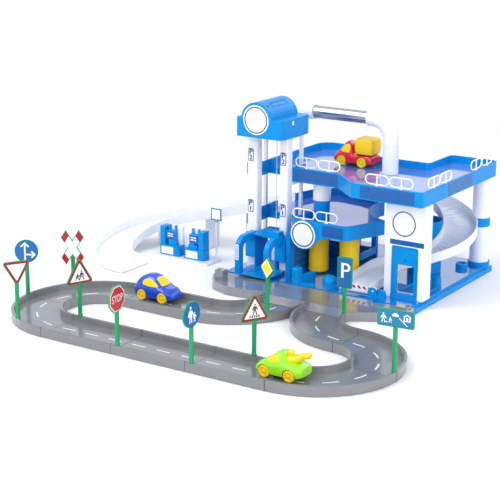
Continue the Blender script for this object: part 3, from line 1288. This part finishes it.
def make_court():
    """The grey forecourt: a shell with a lip round it and a slope at the road's mouth."""
    outer = court_outline()
    pocket = inset(outer, COURT_KERB_WALL)
    rings = [level(pocket, COURT_TOP - COURT_SKIN), level(pocket, 0.0), level(outer, 0.0),
             level(outer, COURT_TOP)]
    court = mesh_object("forecourt", loft(rings), grey())
    ring = slab(outer, [inset(outer, COURT_KERB_WALL - 0.01 * MM)], 1 * MM, COURT_KERB)
    add(court, ring)
    block_y = BASE_FRONT - 53 * MM
    left_block = box((BASE_LEFT + 20 * MM, BASE_LEFT + 38 * MM), (block_y, block_y + 17 * MM),
                     (1 * MM, 34 * MM))
    right_block = box((BASE_RIGHT - 28 * MM, BASE_RIGHT - 1 * MM),
                      (BASE_FRONT - 23 * MM, BASE_FRONT - 6 * MM), (1 * MM, 20 * MM))
    add(court, left_block, right_block)
    lane = ROAD_HALF - ROAD_WALL
    cuts = []
    for middle in (ROAD_START[0], ROAD_START[0] + ROAD_WIDTH):
        y = ROAD_START[1] - 2 * MM
        length = 24 * MM
        wedge = [(y, ROAD_FLOOR), (y + length, COURT_TOP), (y + length, COURT_KERB + 5 * MM),
                 (y, COURT_KERB + 5 * MM)]
        rings = [[(x, across, up) for across, up in wedge] for x in (middle - lane, middle + lane)]
        cuts.append(loft(rings))
    open_back = box((BASE_LEFT - 1 * MM, BASE_RIGHT + 1 * MM), (BASE_FRONT - 19 * MM,
                    BASE_FRONT + 6 * MM), (COURT_TOP, COURT_KERB + 0.5 * MM))
    fill = []
    for middle in (ROAD_START[0], ROAD_START[0] + ROAD_WIDTH):
        y = ROAD_START[1] + ROAD_JOINT
        fill.append(box((middle - lane - 1 * MM, middle + lane + 1 * MM),
                        (y + COURT_KERB_WALL - 1 * MM, y + 26 * MM),
                        (ROAD_FLOOR - ROAD_SKIN, COURT_TOP - COURT_SKIN / 2)))
    add(court, *fill)
    cut(court, *cuts)
    cut(court, open_back)
    tongues = [box((x - ROAD_TONGUE_WIDTH, x + ROAD_TONGUE_WIDTH),
                   (ROAD_START[1] - 2 * MM, ROAD_START[1] + 16 * MM),
                   (-1 * MM, ROAD_FLOOR - ROAD_SKIN))
               for x in (ROAD_START[0], ROAD_START[0] + ROAD_WIDTH)]
    cut(court, *tongues)


def road_section():
    inner = ROAD_HALF - ROAD_WALL
    under = ROAD_FLOOR - ROAD_SKIN
    return [(-ROAD_HALF, 0.0), (-ROAD_HALF, ROAD_TOP), (-inner, ROAD_TOP), (-inner, ROAD_FLOOR),
            (inner, ROAD_FLOOR), (inner, ROAD_TOP), (ROAD_HALF, ROAD_TOP), (ROAD_HALF, 0.0),
            (inner, 0.0), (inner, under), (-inner, under), (-inner, 0.0)]


ROAD_PLAN = (
    ("road_bend_1", -90), ("road_straight_1", 0), ("road_bend_2", 90), ("road_bend_3", 90),
    ("road_straight_2", 0), ("road_straight_3", 0), ("road_straight_4", 0), ("road_bend_4", 90),
    ("road_bend_5", 90), ("road_bend_6", -90),
)


def road_pieces():
    """Name, turn, start point and start heading of each road piece, end to end."""
    x, y, heading = ROAD_START[0], ROAD_START[1], 1.5 * math.pi
    pieces = []
    for name, turn in ROAD_PLAN:
        pieces.append((name, turn, x, y, heading))
        if turn:
            path = turn_path((x, y, 0.0), heading, ROAD_BEND_RADIUS, turn)
        else:
            path = straight_path((x, y, 0.0), heading, ROAD_PITCH)
        x, y, _, heading = path[-1]
    return pieces


def road_point(piece_name, share, side):
    """A point on top of a road piece's wall: side +1 is the left wall, -1 the right one."""
    for name, turn, x, y, heading in road_pieces():
        if name != piece_name:
            continue
        if turn:
            path = turn_path((x, y, 0.0), heading, ROAD_BEND_RADIUS, turn * share)
        else:
            path = straight_path((x, y, 0.0), heading, ROAD_PITCH * share)
        x, y, _, heading = path[-1]
        across = side * (ROAD_HALF - ROAD_WALL / 2)
        return x - math.sin(heading) * across, y + math.cos(heading) * across
    raise ValueError(piece_name)


# Sign name, plate shape, road piece, share of its length, side, facing direction in degrees
SIGNS = (
    ("sign_parking", "tall", "road_bend_6", 0.985, -1, 0),
    ("sign_priority", "diamond", "road_bend_1", 0.35, 1, -23),
    ("sign_level_crossing", "cross", "road_bend_2", 0.62, -1, 36),
    ("sign_straight_or_right", "disc", "road_bend_3", 0.07, -1, 33),
    ("sign_give_way", "triangle_down", "road_bend_3", 0.70, -1, 60),
    ("sign_children", "triangle", "road_straight_2", 0.10, 1, 68),
    ("sign_stop", "octagon", "road_straight_3", 0.09, -1, 95),
    ("sign_footpath", "disc", "road_straight_4", 0.08, -1, 88),
    ("sign_crossing", "triangle", "road_straight_4", 0.50, 1, 61),
    ("sign_living_street", "wide", "road_bend_4", 0.98, -1, 5),
)


def make_road():
    for name, turn, x, y, heading in road_pieces():
        if turn:
            gap = math.degrees(ROAD_JOINT / ROAD_BEND_RADIUS) * (1 if turn > 0 else -1)
            start = turn_path((x, y, 0.0), heading, ROAD_BEND_RADIUS, gap / 2, steps=1)[-1]
            path = turn_path(start[:3], start[3], ROAD_BEND_RADIUS, turn - gap, steps=12)
        else:
            start = straight_path((x, y, 0.0), heading, ROAD_JOINT / 2)[-1]
            path = straight_path(start[:3], heading, ROAD_PITCH - ROAD_JOINT)
        road = mesh_object(name, sweep(road_section(), path), grey())
        end_x, end_y, _, end_heading = path[-1]
        inside = 12 * MM
        tongue = box((-inside, ROAD_TONGUE_REACH), (-ROAD_TONGUE_WIDTH / 2, ROAD_TONGUE_WIDTH / 2),
                     (0.4 * MM, ROAD_FLOOR - ROAD_SKIN - SEAT_GAP))
        root = ROAD_TONGUE_WIDTH / 2 - 1 * MM
        lift = box((-inside + 1 * MM, -3 * MM), (-root, root), (1 * MM, ROAD_FLOOR - ROAD_SKIN / 2))
        place = Matrix.Translation((end_x, end_y, 0.0)) @ Matrix.Rotation(end_heading, 4, "Z")
        add(road, placed(tongue, place), placed(lift, place))
        holes = []
        for _, _, piece, share, side, _ in SIGNS:
            if piece == name:
                centre = road_point(piece, share, side)
                holes.append(rod(SIGN_PEG + PIN_GAP, ROAD_TOP - SIGN_PEG_DEPTH - SEAT_GAP,
                                 ROAD_TOP + 2 * MM, 8, centre))
        if holes:
            cut(road, *holes)


def cross_plate(size):
    """Two crossed arms as one outline."""
    arm = size
    wide = size * 0.27
    flat = []
    for quarter in range(4):
        angle = math.radians(90 * quarter)
        along = Vector((math.cos(angle), math.sin(angle)))
        side = Vector((-along.y, along.x))
        flat += [along * arm - side * wide, along * arm + side * wide,
                 along * wide + side * wide]
    turn = Matrix.Rotation(math.radians(45), 2)
    squeeze = Vector((0.82, 1.3))
    return [((turn @ p).x * squeeze.x, (turn @ p).y * squeeze.y) for p in flat]


def sign_plate(kind):
    """A sign plate's outline round its own middle, and how far below it the pole starts."""
    if kind == "disc":
        return circle(0.0, 0.0, 21.6 * MM, 24), 20 * MM
    if kind == "octagon":
        return circle(0.0, 0.0, 24 * MM, 8, 22.5), 21 * MM
    if kind == "triangle":
        return rounded(circle(0.0, 0.0, 32 * MM, 3, 90), 4 * MM, 3), 14 * MM
    if kind == "triangle_down":
        return rounded(circle(0.0, 0.0, 30 * MM, 3, -90), 4 * MM, 3), 23 * MM
    if kind == "diamond":
        return rounded(circle(0.0, 0.0, 21 * MM, 4, 0), 1.5 * MM, 2), 17 * MM
    if kind == "tall":
        x, y = 14.8 * MM, 28 * MM
        return rounded([(-x, -y), (x, -y), (x, y), (-x, y)], 3 * MM, 3), y - 1 * MM
    if kind == "wide":
        x, y = 31 * MM, 14.2 * MM
        return rounded([(-x, -y), (x, -y), (x, y), (-x, y)], 3 * MM, 3), y - 1 * MM
    return cross_plate(28.6 * MM), 4 * MM


def make_sign(name, kind, piece, share, side, facing):
    x, y = road_point(piece, share, side)
    outline, drop = sign_plate(kind)
    highest = max(point[1] for point in outline)
    centre_z = SIGN_TOP - highest
    foot = ROAD_TOP + SEAT_GAP
    profile = [(SIGN_PEG, ROAD_TOP - SIGN_PEG_DEPTH), (SIGN_PEG, foot), (SIGN_FOOT, foot),
               (SIGN_FOOT, foot + 3 * MM), (SIGN_POLE, foot + 4.5 * MM),
               (SIGN_POLE, centre_z - drop)]
    pole = spindle(profile, 10)
    place = Matrix.Translation((x, y, 0.0)) @ Matrix.Rotation(math.radians(facing), 4, "Z")
    sign = mesh_object(name, placed(pole, place), green())
    plate = upright(slab(outline, [], 0.0, SIGN_THICK), -SIGN_THICK / 2)
    plate.transform(place @ Matrix.Translation((0.0, 0.0, centre_z)))
    add(sign, plate)


def make_station():
    """The petrol station's slab with its price sign."""
    y = (STATION_FRONT, STATION_FRONT + STATION_DEPTH)
    outline = rounded([(STATION_LEFT, y[0]), (STATION_RIGHT, y[0]), (STATION_RIGHT, y[1]),
                       (STATION_LEFT, y[1])], 5 * MM)
    slab_piece = mesh_object("station_slab", prism(outline, 0.0, STATION_SLAB), white())
    x = STATION_RIGHT - 7 * MM
    post_y = y[1] - 8 * MM
    pole = rod(2 * MM, STATION_SLAB - 1 * MM, 92 * MM, 10, (x, post_y))
    plate = box((x - 12.5 * MM, x + 12.5 * MM), (post_y - 1.5 * MM, post_y + 1.5 * MM),
                (84 * MM, 109 * MM))
    add(slab_piece, pole)
    add(slab_piece, plate)


def make_pump(name, left, mirrored):
    """A pump: a low block, a tall column at its outer end and a display held above the block."""
    low = STATION_SLAB + SEAT_GAP
    y = (STATION_FRONT + 10 * MM, STATION_FRONT + 10 * MM + PUMP_DEPTH)
    right = left + PUMP_WIDTH
    block = rounded([(left, y[0]), (right, y[0]), (right, y[1]), (left, y[1])], 5 * MM, 3)
    pump = mesh_object(name, prism(block, low, low + 21 * MM), blue())
    column_x = (right - 14 * MM, right - 2 * MM) if mirrored else (left + 2 * MM, left + 14 * MM)
    column = box(column_x, (y[0] + 2 * MM, y[1] - 2 * MM), (low + 18 * MM, PUMP_HEIGHT))
    back = box((left + 3 * MM, right - 3 * MM), (y[1] - 9 * MM, y[1] - 3 * MM),
               (low + 15 * MM, PUMP_HEIGHT - 2 * MM))
    middle = (left + 16 * MM, left + 37 * MM) if not mirrored else (right - 37 * MM,
                                                                    right - 16 * MM)
    display = box(middle, (y[0] + 3 * MM, y[1] - 6 * MM), (low + 33 * MM, low + 51 * MM))
    nozzle = box((middle[0] + 5 * MM, middle[1] - 2 * MM), (y[0] + 4 * MM, y[1] - 6 * MM),
                 (low + 20 * MM, low + 29 * MM))
    add(pump, column)
    add(pump, back)
    add(pump, display, nozzle)


def car_rings(stations):
    """Rings of a car body from (x, low, waist, top, half width low, half width top) stations."""
    rings = []
    for x, low, waist, top, wide, narrow in stations:
        ring = [(x, -wide * 0.94, low), (x, wide * 0.94, low), (x, wide, (low + waist) / 2),
                (x, wide * 0.97, waist), (x, narrow, waist + (top - waist) * 0.7),
                (x, narrow * 0.8, top - (top - waist) * 0.08), (x, narrow * 0.35, top),
                (x, -narrow * 0.35, top), (x, -narrow * 0.8, top - (top - waist) * 0.08),
                (x, -narrow, waist + (top - waist) * 0.7), (x, -wide * 0.97, waist),
                (x, -wide, (low + waist) / 2)]
        rings.append(ring)
    return rings


def coupe_stations():
    """The rounded coupe, from its tail at -X to its nose at +X, in millimetres above the road."""
    table = ((-42, 9, 18, 24, 17, 13), (-38, 7, 22, 33, 21, 15), (-28, 5, 24, 43, 22.5, 15.5),
             (-14, 5, 25, 47, 23, 16), (0, 5, 25, 46, 23, 16), (10, 5, 24, 40, 23, 16),
             (20, 5, 23, 31, 22.5, 16), (32, 5, 20, 24, 21, 15), (40, 7, 16, 18, 17, 12),
             (44, 9, 12, 14, 12, 9))
    return [[value * MM for value in row] for row in table]


def lorry_stations():
    """The lorry's chassis and cab: a low tail at -X, the cab at +X."""
    table = ((-43, 9, 15, 19, 18, 16), (-38, 6, 18, 24, 21.5, 19), (-4, 6, 19, 24, 22.5, 20),
             (2, 5, 22, 40, 22.5, 17), (10, 5, 23, 47, 22.5, 16), (18, 5, 23, 46, 22.5, 16),
             (26, 5, 21, 34, 22, 16), (36, 6, 18, 25, 20, 15), (43, 9, 14, 18, 15, 11))
    return [[value * MM for value in row] for row in table]


def car_place(x, y, road, heading):
    return Matrix.Translation((x, y, road)) @ Matrix.Rotation(heading, 4, "Z")


def make_car_body(name, stations, finish, place):
    """A body with its wheel arches, axle bores and an open underside."""
    body = loft(car_rings(stations))
    car = mesh_object(name, placed(body, place), finish)
    reach = TRACK / 2 - WHEEL_WIDTH - SEAT_GAP * 3
    arches = []
    bores = []
    for x in (-WHEEL_BASE / 2, WHEEL_BASE / 2):
        for side in (-1, 1):
            low, high = sorted((side * reach, side * (TRACK / 2 + 6 * MM)))
            arch = along_y(rod(WHEEL_RADIUS + ARCH_GAP, low, high, 18), x, 0.0, WHEEL_RADIUS)
            arches.append(placed(arch, place))
        bore = along_y(rod(AXLE_RADIUS + PIN_GAP, -TRACK / 2, TRACK / 2, 10), x, 0.0, WHEEL_RADIUS)
        bores.append(placed(bore, place))
    cut(car, *arches)
    belly = box((-WHEEL_BASE / 2 + 12.5 * MM, WHEEL_BASE / 2 - 12.5 * MM), (-12 * MM, 12 * MM),
                (0.0, 14 * MM))
    cut(car, *bores, placed(belly, place))
    return car


def make_axle(name, offset, place):
    """Two wheels on their axle, turning about the axle."""
    half = TRACK / 2
    inner = half - WHEEL_WIDTH
    rim = 1 * MM
    profile = [(WHEEL_RADIUS - rim, -half), (WHEEL_RADIUS, -half + rim), (WHEEL_RADIUS, -inner),
               (AXLE_RADIUS, -inner), (AXLE_RADIUS, inner), (WHEEL_RADIUS, inner),
               (WHEEL_RADIUS, half - rim), (WHEEL_RADIUS - rim, half)]
    shape = placed(along_y(spindle(profile, 20), offset, 0.0, WHEEL_RADIUS), place)
    centre = place @ Vector((offset, 0.0, WHEEL_RADIUS))
    mesh_object(name, shape, yellow(), centre)


def make_cargo(place):
    """The lorry's yellow load, a swelling block that sits on the chassis."""
    seat = 24 * MM + SEAT_GAP
    rings = []
    for height, half_x, half_y in ((0.0, 17, 18), (4, 20, 21), (18, 21.5, 22), (29, 20.5, 21),
                                   (33, 17, 17.5)):
        outline = rounded([(-half_x * MM, -half_y * MM), (half_x * MM, -half_y * MM),
                           (half_x * MM, half_y * MM), (-half_x * MM, half_y * MM)], 5 * MM, 3)
        rings.append(level([(x - 25 * MM, y) for x, y in outline], seat + height * MM))
    cargo = mesh_object("lorry_cargo", placed(loft(rings), place), yellow())
    return cargo


CARS = (
    ("coupe", (ROAD_START[0] - 205.75 * MM, ROAD_START[1] - ROAD_BEND_RADIUS + 13.5 * MM),
     ROAD_FLOOR, 0.0),
    ("pickup", (ROAD_START[0] + 193.25 * MM, ROAD_START[1] - 3 * ROAD_BEND_RADIUS + 13.5 * MM),
     ROAD_FLOOR, math.pi),
    ("lorry", (-37 * MM, 44 * MM), DECK_2_FLOOR, math.pi),
)


def make_cars():
    for name, centre, road, heading in CARS:
        place = car_place(*centre, road + SEAT_GAP, heading)
        if name == "coupe":
            make_car_body("coupe_body", coupe_stations(), deep_blue(), place)
        elif name == "pickup":
            body = make_car_body("pickup_body", coupe_stations(), lime(), place)
            tail = loft(tail_rings())
            add(body, placed(tail, place))
        else:
            make_car_body("lorry_body", lorry_stations(), red(), place)
            make_cargo(place)
        make_axle(f"{name}_front_axle", WHEEL_BASE / 2, place)
        make_axle(f"{name}_rear_axle", -WHEEL_BASE / 2, place)


def tail_rings():
    """The pickup's rear insert: a pod with a short boom that points back."""
    rings = []
    for x, z, radius in ((-20, 33, 9), (-26, 36, 9.5), (-32, 38, 7), (-36, 39, 5.5),
                         (-48, 42, 5.5), (-51, 42.6, 3.5)):
        ring = circle(0.0, z * MM, radius * MM, 12)
        rings.append([(x * MM, across, up) for across, up in ring])
    return rings


def main():
    clear_scene()
    make_base()
    make_deck_1()
    make_deck_2()
    make_tower()
    make_cap()
    make_winch()
    make_cord()
    make_cabin()
    make_handle_left()
    make_handle_tube()
    make_handle_right()
    make_rear_column()
    make_columns()
    make_spiral()
    make_side_ramp()
    make_portal()
    make_door()
    make_roller("wash_roller_left", *ROLLER_LEFT)
    make_roller("wash_roller_right", *ROLLER_RIGHT)
    make_barrier()
    for rail in RAILS:
        make_rail(*rail)
    make_court()
    make_road()
    for sign in SIGNS:
        make_sign(*sign)
    make_station()
    make_pump("pump_left", STATION_LEFT + 12 * MM, False)
    make_pump("pump_right", STATION_LEFT + 12 * MM + PUMP_WIDTH + 10 * MM, True)
    make_cars()


main()
